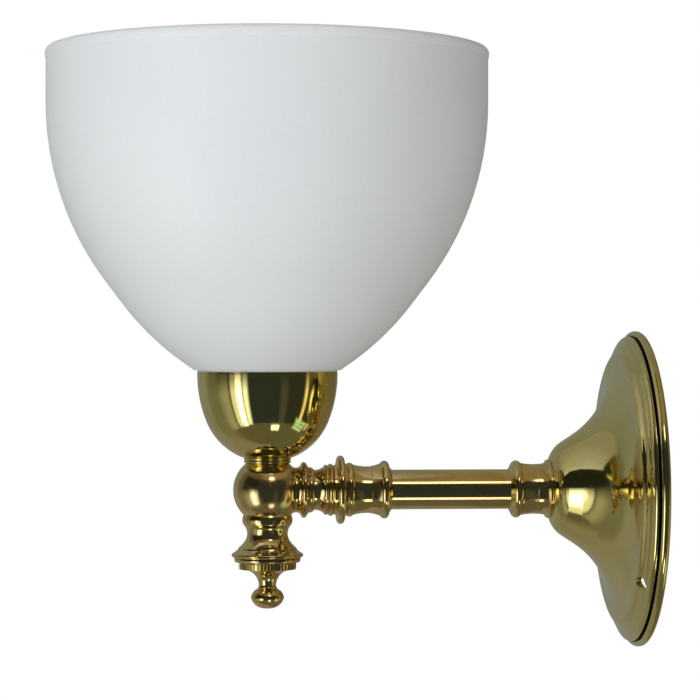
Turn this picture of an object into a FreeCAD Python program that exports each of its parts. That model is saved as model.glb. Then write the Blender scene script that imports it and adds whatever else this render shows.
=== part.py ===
import FreeCAD, Part
import math
import os

V = FreeCAD.Vector

# An uplighter wall light in turned brass with an opal glass bowl, in millimetres.
# The wall is the plane x = 0 and the light stands out from it along -X, with +Z up.
# The origin is the centre of the back plate on the wall.
# Turned pieces are drawn as (radius, position along their axis) and revolved.
# On the arm the position is the distance out from the wall. On the head it is the height
# above the arm's axis.

# Clearances
thread_clear = 0.05      # radial, between a thread's two plain walls
slip_clear = 0.1         # radial, between a bore and what passes through it
loose_clear = 0.4        # radial, round a piece that slides freely
wire_gap = 0.25          # between the two lamp wires in the arm

# Back plate: a turned brass dish with a raised neck
plate_d = 115.0
plate_depth = 33.2       # wall to the seat of the first collar
plate_wall = 1.4
neck_seat_r = 10.4       # flat seat at the top of the neck
neck_round_r = 10.0      # convex turn from the seat into the flank
neck_start_deg = 10.0
flank_deg = 57.0         # slope of the flank to the wall plane
flare_r = 33.7           # concave turn from the flank into the margin
margin_deg = 5.0
rim_h = 3.1              # thickness of the rim that lies on the wall
rim_out = 1.9            # how far the rim stands out past the front edge
rim_round = 1.1          # the rim's rounded edge starts this far inside its crest
rim_land = 4.4           # width of the rim's face on the wall
groove_w = 0.8           # groove between the rim and the front edge
groove_depth = 1.1
# Rings turned in the plate's margin: radius of each turn and the slope it ends at
margin_turns = [(2.6, 55.0), (2.0, 8.0), (4.0, 38.0), (2.5, 12.0), (1.7, 90.0)]
fixing_pcd = 102.0       # two screws hold the plate to the wall
fixing_hole_d = 4.8
fixing_deg = -38.0       # of the near hole, below the horizontal

# Threaded hollow rod that clamps the arm together
rod_d = 10.0
rod_bore_d = 7.6
rod_behind_nut = 2.0

# Nut, washers, strap and earth tag inside the plate's neck
washer_t = 1.0
washer_d = 18.0
lock_washer_t = 0.9
lock_washer_d = 16.0
nut_af = 14.0            # across flats
nut_t = 3.5
strap_t = 1.2
strap_w = 11.0
strap_end_r = 8.8
strap_leg_z = 9.0        # inner face of the leg, below the arm's axis
strap_foot_a = 2.0       # gap between the foot and the wall
strap_window_r = 1.6     # hole in the leg for the earth wire
foot_w = 18.0
tag_t = 0.8
tag_d = 15.2
tag_tail_w = 4.6
tag_tail_z = 11.2        # height of the crimp above the arm's axis
crimp_len = 5.0
crimp_wall = 0.5
bush_wall = 1.0
bush_flange = 1.0
bush_len = 6.0

# Terminal block: three ways side by side
way_pitch = 8.0
way_count = 3
block_end = 4.0          # outer way to the block's end
block_len = 13.0         # along the wires
block_h = 10.2
block_gap = 1.2          # strap leg to block
clamp_d = 4.4
clamp_bore_d = 1.6
clamp_len = 11.4
clamp_a = 5.1            # height of the ways above the foot
clamp_screw_d = 2.4
clamp_screw_len = 4.2
clamp_screw_spacing = 6.4
well_clear = 0.5
block_screw_d = 2.5
block_screw_head_d = 4.4
block_screw_head_h = 1.6

# Collars at both ends of the arm tube
wall_collar_len = 15.0
wall_end_r = 10.7        # ring on the plate's seat
wall_waist_r = 9.0
wall_ring_r = 10.4       # ring at the tube
outer_collar_len = 16.1
outer_ring_r = 10.5      # ring at the tube
outer_waist_r = 8.45
outer_bead_r = 9.8       # bead at the flange
socket_depth = 3.5       # tube in its collar

# Arm tube
tube_d = 14.5
tube_wall = 1.0
tube_visible = 43.1

# Flange and neck between the outer collar and the ball
flange_d = 24.8
flange_t = 2.6
flange_len = 4.8
flange_hub_r = 9.3
neck_len = 14.6
neck_ring_r = 10.1
neck_waist_r = 7.2
neck_bead_r = 9.45

# Ball
ball_d = 24.8
ball_side_flat = 9.3     # centre to the flat that meets the neck
ball_top_flat = 9.6
ball_bottom_flat = 8.8
bore_past_centre = 4.6   # the two cross bores run this far past the centre
rod_stop = 6.2           # rod ends to the ball's centre

# Bell cap, its stem and the finial nut
stem_d = 6.0
stem_in_ball = 4.0
stem_thread_in_nut = 5.2
cap_h = 15.5
cap_top_r = 9.1
cap_waist_r = 7.35
cap_lip_r = 12.95
cap_lip_t = 2.2
cap_wall = 2.4
nut_disc_r = 12.0
nut_disc_t = 1.6
knurl_r = 10.4
knurl_h = 2.3
knurl_teeth = 54
knurl_depth = 0.4
knurl_gap = 0.3          # groove between the disc and the knurl
knurl_over = 0.15        # the cutters run this far past both ends
finial_neck_r = 3.15
finial_neck_drop = 6.0   # knurl to the thinnest place
knob_r = 6.0
knob_h = 7.0

# Ring between ball and cup, and the spun cup
ring_h = 2.3
ring_r = 8.5
cup_wall = 0.9
cup_d = 50.7
cup_h = 30.9
cup_rim_run = 0.9        # straight stretch at the rim
cup_side_r = 46.0
cup_turn_r = 23.4
cup_side_deg = 21.8      # slope from the vertical where the two turns meet

# Lamp holder with an outer thread for the shade ring
holder_entry_r = 9.0
holder_cap_h = 24.0
holder_cap_wall = 2.0
holder_d = 40.0
holder_h = 58.0
skirt_wall = 2.4
skirt_spigot = 5.0
skirt_lip = 1.6
insert_a = 19.0          # holder's bottom to the insert
insert_t = 8.0
insert_d = 30.8
socket_d = 26.6
shell_wall = 0.6
rod_in_holder = 6.0
terminal_y = 6.0
terminal_w = 5.0
terminal_drop = 5.0
terminal_screw_d = 3.0
terminal_screw_head_d = 5.2
contact_len = 11.0
contact_w = 5.0
contact_t = 0.5
contact_rise = 3.0
contact_foot = 2.5
contact_gap = 0.05       # under the foot
well_depth = 3.6         # the insert's well for the contact
well_end = 0.8           # past both ends of the contact
well_side = 0.4          # beside it

# Shade, its gasket, washer and ring
shade_d = 160.0
shade_h = 115.7
shade_wall = 3.5
shade_lip_out = 0.35     # the lip stands out this far past the side
shade_lip_h = 4.0
shade_side_r = 106.9     # turn of the side, below the straight rim
shade_side_deg = 37.1
shade_run = 9.6          # straight run between the two turns
shade_base_r = 100.2     # turn of the base
shade_foot_r = 27.2
shade_corner = 1.2
shade_hole_d = 42.0
gasket_t = 0.5
gasket_w = 2.2
shade_washer_t = 1.0
shade_washer_d = 49.0
shade_ring_d = 51.0
shade_ring_h = 7.0
shade_ring_grips = 24
grip_r = 1.6
grip_depth = 0.8

# Wires
wire_d = 1.9
wire_bend = 6.4          # largest bend radius that the ball and the neck leave room for
wire_sides_drop = 2.4    # straight stretch below each lamp terminal
bend_past_rod = 3.0      # the lamp wires part this far past the rod's open end

# Worked-out places
plate_r = plate_d / 2
seat_a = plate_depth
tube_start = seat_a + wall_collar_len
tube_end = tube_start + tube_visible
flange_a = tube_end + outer_collar_len
neck_a = flange_a + flange_len
ball_face_a = neck_a + neck_len
reach = ball_face_a + ball_side_flat
cup_a = ball_top_flat + ring_h
cup_top = cup_a + cup_h
holder_a = cup_a + cup_wall + washer_t + nut_t
foot_a = cup_top + gasket_t
rod_r = rod_d / 2
rod_hole_r = rod_r + slip_clear
tap_r = rod_r + thread_clear
wire_off = wire_d / 2 + wire_gap / 2
holder_r = holder_d / 2


def point(r, a):
    return V(r, 0, a)


def line(start, end):
    return Part.LineSegment(point(*start), point(*end)).toShape()


def arc(start, middle, end):
    return Part.Arc(point(*start), point(*middle), point(*end)).toShape()


def edges_of(start, *steps):
    """Edges from start. A step is a corner (r, a), or (middle, end) for an arc."""
    edges = []
    for step in steps:
        if isinstance(step[0], tuple):
            edges.append(arc(start, step[0], step[1]))
            start = step[1]
        else:
            edges.append(line(start, step))
            start = step
    return edges


def turned(edges):
    """Revolve a closed outline about its axis."""
    wire = Part.Wire(Part.__sortEdges__(edges))
    return Part.Face(wire).revolve(V(0, 0, 0), V(0, 0, 1), 360)


def lathe(start, *steps):
    """A turned piece from a closed outline that returns to its start."""
    return turned(edges_of(start, *steps, start))


def washer(outer_r, inner_r, low, high):
    return lathe((inner_r, low), (outer_r, low), (outer_r, high), (inner_r, high))


def turn_shift(radius, from_deg, to_deg):
    """Change of (r, a) along an arc whose heading turns from one slope to another."""
    side = 1 if to_deg > from_deg else -1
    start = math.radians(from_deg)
    end = math.radians(to_deg)
    along = side * radius * (math.sin(end) - math.sin(start))
    across = side * radius * (math.cos(start) - math.cos(end))
    return along, across


def chain(start, heading, runs, offset=0.0):
    """Tangent runs from start: (length,) is straight, (radius, heading) turns to that heading.

    Headings are in degrees from the outward radius towards the piece's far end. A positive
    offset shifts the whole chain to its left, so a wall's two faces stay parallel.
    Returns the edges, the end and the end's heading.
    """
    way = math.radians(heading)
    here = (start[0] - offset * math.sin(way), start[1] + offset * math.cos(way))
    edges = []
    for run in runs:
        way = math.radians(heading)
        if len(run) == 1:
            there = (here[0] + run[0] * math.cos(way), here[1] + run[0] * math.sin(way))
            edges.append(line(here, there))
        else:
            side = 1 if run[1] > heading else -1
            radius = run[0] - side * offset
            half = turn_shift(radius, heading, (heading + run[1]) / 2)
            full = turn_shift(radius, heading, run[1])
            middle = (here[0] + half[0], here[1] + half[1])
            there = (here[0] + full[0], here[1] + full[1])
            edges.append(arc(here, middle, there))
            heading = run[1]
        here = there
    return edges, here, heading


def on_arm(shape):
    """Lay a piece drawn upwards along the arm, out from the wall."""
    shape.rotate(V(0, 0, 0), V(0, 1, 0), -90)
    return shape


def on_head(shape):
    """Stand a piece on the ball's vertical axis."""
    shape.translate(V(-reach, 0, 0))
    return shape


def rod(radius, low, high, x=0.0, y=0.0):
    return Part.makeCylinder(radius, high - low, V(x, y, low))


def box(x0, x1, y0, y1, z0, z1):
    return Part.makeBox(x1 - x0, y1 - y0, z1 - z0, V(x0, y0, z0))


def hex_prism(across_flats, low, high):
    radius = across_flats / math.sqrt(3)
    corners = []
    for i in range(7):
        turn = math.radians(60 * i)
        corners.append(V(radius * math.cos(turn), radius * math.sin(turn), low))
    return Part.Face(Part.makePolygon(corners)).extrude(V(0, 0, high - low))


def save(name, *solids):
    shape = solids[0] if len(solids) == 1 else Part.makeCompound(list(solids))
    shape.exportStep("parts/" + name + ".step")
    return shape


# Back plate

def plate_runs():
    """Runs of the plate's front face from the neck seat to the front edge."""
    fixed_r = 0.0
    fixed_a = 0.0
    turns = [(neck_round_r, -neck_start_deg, -flank_deg), (flare_r, -flank_deg, -margin_deg)]
    heading = -margin_deg
    for radius, slope in margin_turns:
        turns.append((radius, heading, -slope))
        heading = -slope
    for radius, start, end in turns:
        shift = turn_shift(radius, start, end)
        fixed_r += shift[0]
        fixed_a += shift[1]
    # The flank and the margin are as long as the plate's depth and width need
    need_r = plate_r - rim_out - neck_seat_r - fixed_r
    need_a = seat_a - rim_h - groove_w + fixed_a
    flank = math.radians(flank_deg)
    margin = math.radians(margin_deg)
    spread = math.sin(flank - margin)
    flank_len = (need_a * math.cos(margin) - need_r * math.sin(margin)) / spread
    margin_len = (need_r * math.sin(flank) - need_a * math.cos(flank)) / spread
    inner = [(neck_round_r, -flank_deg), (flank_len,), (flare_r, -margin_deg), (margin_len,)]
    return inner, [(radius, -slope) for radius, slope in margin_turns]


def backplate():
    main, rings = plate_runs()
    seat = (neck_seat_r, seat_a)
    front, edge, _ = chain(seat, -neck_start_deg, main + rings)
    back, margin, _ = chain(seat, -neck_start_deg, main, -plate_wall)
    start = math.radians(neck_start_deg)
    inner_seat = (neck_seat_r - plate_wall * math.sin(start), seat_a - plate_wall * math.cos(start))
    groove_r = edge[0] - groove_depth
    land_r = plate_r - rim_land
    rim = edges_of(
        edge,
        (groove_r, rim_h + groove_w / 2),
        (edge[0], rim_h),
        (plate_r - rim_round, rim_h),
        ((plate_r, rim_h / 2), (plate_r - rim_round, 0)),
        (land_r, 0),
        (land_r, rim_h),
        margin,
    )
    hub = edges_of(inner_seat, (rod_hole_r, inner_seat[1]), (rod_hole_r, seat_a), seat)
    plate = turned(front + rim + back + hub)
    for turn in (fixing_deg, fixing_deg + 180):
        y = -math.cos(math.radians(turn)) * fixing_pcd / 2
        z = math.sin(math.radians(turn)) * fixing_pcd / 2
        plate = plate.cut(rod(fixing_hole_d / 2, 0, plate_depth, z, y))
    return on_arm(plate), inner_seat[1]


# Clamping stack inside the neck, from the seat towards the wall

def strap(high, foot_high):
    """Steel strip: an eye on the rod, a leg towards the wall and a foot along it."""
    low = high - strap_t
    eye = rod(strap_end_r, low, high).common(box(0, washer_d, -washer_d, washer_d, low, high))
    web = box(-strap_leg_z - strap_t, 0, -strap_w / 2, strap_w / 2, low, high)
    leg = box(-strap_leg_z - strap_t, -strap_leg_z, -strap_w / 2, strap_w / 2, foot_high, high)
    foot_end = -strap_leg_z - strap_t - block_gap - block_len
    foot = box(foot_end, -strap_leg_z, -foot_w / 2, foot_w / 2, strap_foot_a, foot_high)
    eye = eye.common(box(0, washer_d, -strap_w / 2, strap_w / 2, low, high))
    shape = eye.fuse([web, leg, foot]).removeSplitter()
    shape = shape.cut(rod(rod_hole_r, low - 1, high + 1))
    window = V(-washer_d, 0, foot_high + clamp_a)
    shape = shape.cut(Part.makeCylinder(strap_window_r, washer_d, window, V(1, 0, 0)))
    for x, y in block_screw_places():
        shape = shape.cut(rod(block_screw_d / 2 + thread_clear, 0, foot_high + 1, x, y))
    return on_arm(shape)


def earth_tag(high):
    """Ring tag whose tail folds towards the wall and ends in a crimp."""
    low = high - tag_t
    ring = rod(tag_d / 2, low, high)
    tail = box(0, tag_tail_z + tag_t / 2, -tag_tail_w / 2, tag_tail_w / 2, low, high)
    fold_low = low - tag_tail_w
    fold = box(tag_tail_z - tag_t / 2, tag_tail_z + tag_t / 2,
               -tag_tail_w / 2, tag_tail_w / 2, fold_low, high)
    crimp_r = wire_d / 2 + slip_clear + crimp_wall
    crimp = rod(crimp_r, fold_low - crimp_len, fold_low, tag_tail_z)
    bore = rod(wire_d / 2 + slip_clear, fold_low - crimp_len - 1, fold_low - crimp_wall, tag_tail_z)
    shape = ring.fuse([tail, fold, crimp]).cut(bore).cut(rod(rod_hole_r, low - 1, high + 1))
    return on_arm(shape), fold_low - crimp_wall


def lock_washer(high):
    """Split washer."""
    low = high - lock_washer_t
    ring = washer(lock_washer_d / 2, rod_hole_r, low, high)
    return on_arm(ring.cut(box(0, lock_washer_d, -0.5, 0.5, low - 1, high + 1)))


def nut(low, high):
    corner_r = nut_af / math.sqrt(3)
    trim = nut_af / 2 * 0.98
    drop = (corner_r - trim) * math.tan(math.radians(30))
    barrel = lathe((tap_r, low), (trim, low), (corner_r, low + drop), (corner_r, high - drop),
                   (trim, high), (tap_r, high))
    return hex_prism(nut_af, low, high).common(barrel)


def bush(rod_end):
    """Plastic sleeve that guards the wires at the rod's sharp end."""
    outer = rod_bore_d / 2 - thread_clear
    inner = outer - bush_wall
    return on_arm(lathe((inner, rod_end - bush_flange), (rod_r, rod_end - bush_flange),
                        (rod_r, rod_end), (outer, rod_end), (outer, rod_end + bush_len),
                        (inner, rod_end + bush_len)))


# Terminal block on the strap's foot. Its wires run along Z.

def way_places():
    return [(i - (way_count - 1) / 2) * way_pitch for i in range(way_count)]


def block_middle():
    return -(strap_leg_z + strap_t + block_gap + block_len / 2)


def block_screw_places():
    """Fixing screws between the ways."""
    ways = way_places()
    return [(block_middle(), (ways[i] + ways[i + 1]) / 2) for i in range(way_count - 1)]


def clamp_screw_places():
    middle = block_middle()
    spots = []
    for y in way_places():
        for side in (-1, 1):
            spots.append((middle + side * clamp_screw_spacing / 2, y))
    return spots


def terminal_block(foot_high):
    middle = block_middle()
    half_w = way_pitch * (way_count - 1) / 2 + block_end
    body = box(middle - block_len / 2, middle + block_len / 2, -half_w, half_w,
               foot_high, foot_high + block_h)
    for y in way_places():
        way = Part.makeCylinder(clamp_d / 2 + thread_clear, block_len + 2,
                                V(middle - block_len / 2 - 1, y, foot_high + clamp_a), V(1, 0, 0))
        body = body.cut(way)
    for x, y in clamp_screw_places():
        well = rod(clamp_screw_d / 2 + well_clear, foot_high + clamp_a, foot_high + block_h + 1, x, y)
        body = body.cut(well)
    for x, y in block_screw_places():
        body = body.cut(rod(block_screw_d / 2 + slip_clear, foot_high - 1, foot_high + block_h + 1, x, y))
    return on_arm(body)


def terminal_clamps(foot_high):
    middle = block_middle()
    clamps = []
    for y in way_places():
        start = V(middle - clamp_len / 2, y, foot_high + clamp_a)
        tube = Part.makeCylinder(clamp_d / 2, clamp_len, start, V(1, 0, 0))
        tube = tube.cut(Part.makeCylinder(clamp_bore_d / 2, clamp_len, start, V(1, 0, 0)))
        for side in (-1, 1):
            x = middle + side * clamp_screw_spacing / 2
            tube = tube.cut(rod(clamp_screw_d / 2 + thread_clear, foot_high + clamp_a,
                                foot_high + block_h, x, y))
        clamps.append(on_arm(tube))
    return clamps


def slotted(shape, radius, top, x, y):
    """Cut a driver slot across a screw's head."""
    slot = box(x - radius, x + radius, y - 0.3, y + 0.3, top - 0.6, top + 1)
    return shape.cut(slot)


def clamp_screws(foot_high):
    low = foot_high + clamp_a + clamp_bore_d / 4
    screws = []
    for x, y in clamp_screw_places():
        top = low + clamp_screw_len
        screw = rod(clamp_screw_d / 2, low, top, x, y)
        screws.append(on_arm(slotted(screw, clamp_screw_d, top, x, y)))
    return screws


def block_screws(foot_high):
    top = foot_high + block_h
    screws = []
    for x, y in block_screw_places():
        head = rod(block_screw_head_d / 2, top, top + block_screw_head_h, x, y)
        shank = rod(block_screw_d / 2, strap_foot_a, top, x, y)
        screw = slotted(shank.fuse(head), block_screw_head_d, top + block_screw_head_h, x, y)
        screws.append(on_arm(screw))
    return screws


# Arm

def wall_collar():
    """Collar on the plate: end ring, groove, band, break, waist and the ring at the tube."""
    base = seat_a
    top = tube_start
    tube_r = tube_d / 2
    band_a = base + 1.6
    break_a = base + 5.1
    return on_arm(lathe(
        (rod_hole_r, base),
        (wall_end_r - 0.2, base),
        ((wall_end_r, base + 0.7), (wall_end_r - 0.6, band_a - 0.1)),
        (wall_waist_r + 0.55, band_a),
        ((wall_waist_r + 0.2, band_a + 1.6), (wall_waist_r + 0.12, break_a)),
        (wall_waist_r, break_a + 0.15),
        ((wall_waist_r + 0.1, top - 7.4), (wall_waist_r + 0.4, top - 4.7)),
        (wall_waist_r + 0.6, top - 4.0),
        (wall_ring_r - 0.45, top - 3.8),
        ((wall_ring_r, top - 2.5), (wall_ring_r - 0.65, top - 1.2)),
        (tube_r + 0.25, top),
        (tube_r, top),
        (tube_r, top - socket_depth),
        (rod_hole_r, top - socket_depth),
    ))


def outer_collar():
    """Collar at the flange: ring at the tube, groove, band, break, waist and end bead."""
    base = tube_end
    top = flange_a
    tube_r = tube_d / 2
    break_a = base + 7.3
    return on_arm(lathe(
        (tube_r, base),
        (tube_r + 0.25, base),
        (outer_ring_r - 1.8, base + 0.9),
        ((outer_ring_r, base + 2.4), (outer_ring_r - 0.6, base + 3.7)),
        (outer_ring_r - 0.95, base + 3.9),
        ((outer_waist_r + 0.45, base + 5.8), (outer_waist_r + 0.15, break_a)),
        (outer_waist_r + 0.02, break_a + 0.15),
        ((outer_waist_r + 0.06, top - 5.8), (outer_waist_r + 0.55, top - 2.8)),
        (outer_waist_r + 0.7, top - 2.3),
        (outer_bead_r - 0.4, top - 2.0),
        ((outer_bead_r, top - 1.1), (outer_bead_r - 0.3, top)),
        (rod_hole_r, top),
        (rod_hole_r, base + socket_depth),
        (tube_r, base + socket_depth),
    ))


def arm_tube():
    outer = tube_d / 2 - thread_clear
    low = tube_start - socket_depth
    high = tube_end + socket_depth
    return on_arm(washer(outer, outer - tube_wall, low, high))


def flange():
    """Broad thin ring with a rounded edge on a short hub."""
    base = flange_a
    disc_low = base + 1.0
    disc_high = disc_low + flange_t
    top = base + flange_len
    edge_r = flange_d / 2
    tip = flange_t / 2
    return on_arm(lathe(
        (rod_hole_r, base),
        (flange_hub_r, base),
        (flange_hub_r + 0.3, disc_low),
        (edge_r - tip, disc_low),
        ((edge_r, disc_low + tip), (edge_r - tip, disc_high)),
        (flange_hub_r + 0.2, disc_high),
        (flange_hub_r - 0.3, disc_high + 0.4),
        (flange_hub_r - 0.3, top),
        (rod_hole_r, top),
    ))


def neck():
    """Turned spool: fine beads, a waist, a sharp ring and a short collar at the ball."""
    low = neck_a
    high = neck_a + neck_len
    ring_a = high - 3.8
    waist_a = high - 8.4
    end_r = math.sqrt((ball_d / 2) ** 2 - ball_side_flat ** 2)
    return on_arm(lathe(
        (rod_hole_r, low),
        (neck_bead_r - 0.6, low),
        (neck_bead_r - 0.5, low + 0.3),
        ((neck_bead_r, low + 1.1), (neck_bead_r - 0.4, low + 1.9)),
        (neck_bead_r - 0.75, low + 2.2),
        ((neck_bead_r - 0.35, low + 2.9), (neck_bead_r - 0.85, low + 3.5)),
        (neck_bead_r - 1.2, low + 3.8),
        ((neck_waist_r + 0.3, waist_a - 1.0), (neck_waist_r + 0.1, waist_a + 1.0)),
        (neck_waist_r + 0.5, waist_a + 1.2),
        ((neck_waist_r + 0.95, waist_a + 1.9), (neck_waist_r + 0.95, waist_a + 2.7)),
        (neck_ring_r - 0.9, ring_a - 1.0),
        ((neck_ring_r, ring_a), (neck_ring_r - 0.6, ring_a + 0.9)),
        (end_r + 0.45, ring_a + 1.3),
        ((end_r - 0.1, ring_a + 2.6), (end_r + 0.1, high)),
        (rod_hole_r, high),
    ))


# Ball and what hangs below it

def ball():
    """Solid ball with three flats, cross drilled for the wires and tapped."""
    radius = ball_d / 2
    shape = Part.makeSphere(radius)
    keep = box(-radius, ball_side_flat, -radius, radius, -ball_bottom_flat, ball_top_flat)
    shape = shape.common(keep)
    shape = shape.cut(rod(tap_r, -bore_past_centre, radius))
    side = Part.makeCylinder(tap_r, bore_past_centre + radius, V(-bore_past_centre, 0, 0), V(1, 0, 0))
    shape = shape.cut(side)
    shape = shape.cut(rod(stem_d / 2 + thread_clear, -radius, 0))
    return on_head(shape)


def stem():
    """Threaded stem that carries the bell cap and the finial nut."""
    radius = stem_d / 2
    top = -ball_bottom_flat + stem_in_ball
    low = -ball_bottom_flat - cap_h - stem_thread_in_nut
    return on_head(lathe((0, low), (radius - 0.5, low), (radius, low + 0.5), (radius, top), (0, top)))


def bell_cap():
    """Bell cap: a rounded top, a waist and a broad thin lip, hollow underneath."""
    top = -ball_bottom_flat
    low = top - cap_h
    hole = stem_d / 2 + loose_clear
    hollow_r = cap_lip_r - cap_wall
    roof = top - cap_h * 0.45
    lip = low + cap_lip_t / 2
    return on_head(lathe(
        (hole, top),
        (cap_top_r - 0.5, top),
        ((cap_top_r, top - 1.9), (cap_top_r - 0.35, top - 3.5)),
        ((cap_waist_r, top - 6.5), (cap_waist_r + 0.85, top - 9.6)),
        ((cap_waist_r + 1.9, top - 10.9), (cap_waist_r + 3.1, top - 12.0)),
        (cap_waist_r + 3.3, top - 12.5),
        ((cap_waist_r + 4.3, top - 13.4), (cap_lip_r - 0.3, lip + 0.4)),
        ((cap_lip_r, lip - 0.1), (cap_lip_r - 0.35, low + 0.25)),
        (cap_lip_r - 0.8, low),
        (hollow_r, low),
        ((cap_waist_r - cap_wall + 0.9, low + 3.2), (cap_waist_r - cap_wall, roof)),
        (hole, roof),
    ))


def knurled(shape, radius, low, high, teeth, depth):
    """Cut a ring of straight V teeth."""
    step = 2 * math.pi / teeth
    half = radius * math.tan(step / 2) * 0.96
    cutters = []
    for i in range(teeth):
        profile = Part.makePolygon([
            V(radius - depth, 0, low - knurl_over),
            V(radius + depth, half, low - knurl_over),
            V(radius + depth, -half, low - knurl_over),
            V(radius - depth, 0, low - knurl_over),
        ])
        cutter = Part.Face(profile).extrude(V(0, 0, high - low + 2 * knurl_over))
        cutter.rotate(V(0, 0, 0), V(0, 0, 1), math.degrees(step * i))
        cutters.append(cutter)
    return shape.cut(Part.makeCompound(cutters))


def finial_nut():
    """Hand nut: a thin disc, a knurled ring, a thin neck and a round knob."""
    top = -ball_bottom_flat - cap_h
    disc_low = top - nut_disc_t
    knurl_top = disc_low - knurl_gap
    knurl_low = knurl_top - knurl_h
    neck_at = knurl_low - finial_neck_drop
    knob_top = neck_at - 1.2
    knob_low = knob_top - knob_h
    knob_mid = knob_low + knob_h * 0.56
    bore = stem_d / 2 + thread_clear
    bore_end = top - stem_thread_in_nut - 0.4
    shape = lathe(
        (0, bore_end),
        (bore, bore_end),
        (bore, top),
        (nut_disc_r - 0.5, top),
        (nut_disc_r - 0.1, top - 0.2),
        ((nut_disc_r, top - nut_disc_t * 0.5), (nut_disc_r - 0.4, disc_low)),
        (knurl_r - 0.8, disc_low),
        (knurl_r - 0.8, knurl_top),
        (knurl_r - 0.2, knurl_top),
        (knurl_r, knurl_top - 0.2),
        (knurl_r, knurl_low + 0.2),
        (knurl_r - 0.2, knurl_low),
        (knurl_r - 1.6, knurl_low - 0.2),
        ((finial_neck_r + 1.4, knurl_low - 2.2), (finial_neck_r + 0.05, neck_at + 0.9)),
        ((finial_neck_r, neck_at), (finial_neck_r + 0.7, knob_top)),
        ((knob_r * 0.9, knob_mid + knob_h * 0.24), (knob_r, knob_mid)),
        ((knob_r * 0.77, knob_low + knob_h * 0.21), (1.0, knob_low)),
        (0, knob_low),
    )
    return on_head(knurled(shape, knurl_r, knurl_low, knurl_top, knurl_teeth, knurl_depth))


# Cup on the ball

def neck_ring():
    """Two small beads between ball and cup."""
    low = ball_top_flat
    high = cup_a
    split = low + ring_h * 0.55
    return on_head(lathe(
        (rod_hole_r, low),
        (ring_r - 0.9, low),
        (ring_r - 0.4, low + 0.15),
        ((ring_r, (low + split) / 2), (ring_r - 0.45, split)),
        ((ring_r + 0.1, (split + high) / 2), (ring_r - 0.25, high)),
        (rod_hole_r, high),
    ))


def cup_runs():
    """Runs of the cup's outside from the rim down to its flat bottom."""
    side_turn = -90 - cup_side_deg
    side = turn_shift(cup_side_r, -90, side_turn)
    bottom_drop = cup_h - cup_rim_run + side[1]
    # The second turn ends where the cup meets its bottom
    reached = math.cos(math.radians(side_turn)) - bottom_drop / cup_turn_r
    end_turn = -180 + math.degrees(math.acos(min(1.0, -reached)))
    return [(cup_rim_run,), (cup_side_r, side_turn), (cup_turn_r, end_turn)]


def lamp_cup():
    runs = cup_runs()
    rim = (cup_d / 2, cup_top)
    outer, low_end, _ = chain(rim, -90, runs)
    inner, high_end, _ = chain(rim, -90, runs, -cup_wall)
    floor = cup_a + cup_wall
    inner_rim = (cup_d / 2 - cup_wall, cup_top)
    bottom = edges_of(low_end, (rod_hole_r, cup_a), (rod_hole_r, floor),
                      (high_end[0] - 0.5, floor), high_end)
    return on_head(turned(outer + inner + bottom + edges_of(inner_rim, rim)))


# Lamp holder

def holder_cap():
    """Domed base with a tapped entry and a socket for the skirt's spigot."""
    low = holder_a
    top = low + holder_cap_h
    outer = holder_r - slip_clear
    inner = outer - holder_cap_wall
    floor = low + 5.0
    return on_head(lathe(
        (tap_r, low),
        (holder_entry_r, low),
        (holder_entry_r, low + 1.6),
        ((holder_r - 4.6, low + 6.0), (outer, low + 15.0)),
        (outer, top),
        (inner, top),
        (inner, low + 15.5),
        ((holder_r - 6.4, low + 7.9), (holder_entry_r + 0.4, floor)),
        (tap_r, floor),
    ))


def skirt():
    """Outer threaded sleeve: a spigot in the cap, the thread, and a lip over the shell."""
    joint = holder_a + holder_cap_h
    low = joint - skirt_spigot
    top = holder_a + holder_h
    spigot = holder_r - slip_clear - holder_cap_wall - thread_clear
    bore = insert_d / 2 + slip_clear
    lip = socket_d / 2 + shell_wall / 2
    return on_head(lathe(
        (bore, low),
        (spigot, low),
        (spigot, joint),
        (holder_r - 0.5, joint),
        (holder_r, joint + 0.5),
        (holder_r, top - 0.6),
        (holder_r - 0.6, top),
        (lip, top),
        (lip, top - skirt_lip),
        (bore, top - skirt_lip),
    ))


def insert():
    """Ceramic core that carries the terminals, the contact and the screw shell."""
    low = holder_a + insert_a
    high = low + insert_t
    half_l = contact_len / 2 + well_end
    half_w = contact_w / 2 + well_side
    body = rod(insert_d / 2, low, high)
    body = body.cut(box(-half_l, half_l, -half_w, half_w, high - well_depth, high + 1))
    for side in (-1, 1):
        body = body.cut(rod(terminal_screw_d / 2 + slip_clear, low - 1, high + 1, 0, side * terminal_y))
        body = body.cut(rod(terminal_screw_head_d / 2 + slip_clear, high - 2.0, high + 1,
                            0, side * terminal_y))
    return on_head(body)


def terminals():
    """Two brass blocks under the insert, one for each wire."""
    high = holder_a + insert_a
    low = high - terminal_drop
    half = terminal_w / 2
    blocks = []
    for side in (-1, 1):
        y = side * terminal_y
        block = box(-half, half, y - half, y + half, low, high)
        block = block.cut(rod(terminal_screw_d / 2 + thread_clear, high - 3.0, high, 0, y))
        blocks.append(on_head(block))
    return blocks


def terminal_screws():
    """Two screws through the insert into the terminals."""
    high = holder_a + insert_a + insert_t
    screws = []
    for side in (-1, 1):
        y = side * terminal_y
        shank = rod(terminal_screw_d / 2, holder_a + insert_a - 2.6, high - 2.0, 0, y)
        head = rod(terminal_screw_head_d / 2, high - 2.0, high - 0.4, 0, y)
        screws.append(on_head(slotted(shank.fuse(head), terminal_screw_head_d, high - 0.4, 0, y)))
    return screws


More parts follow.
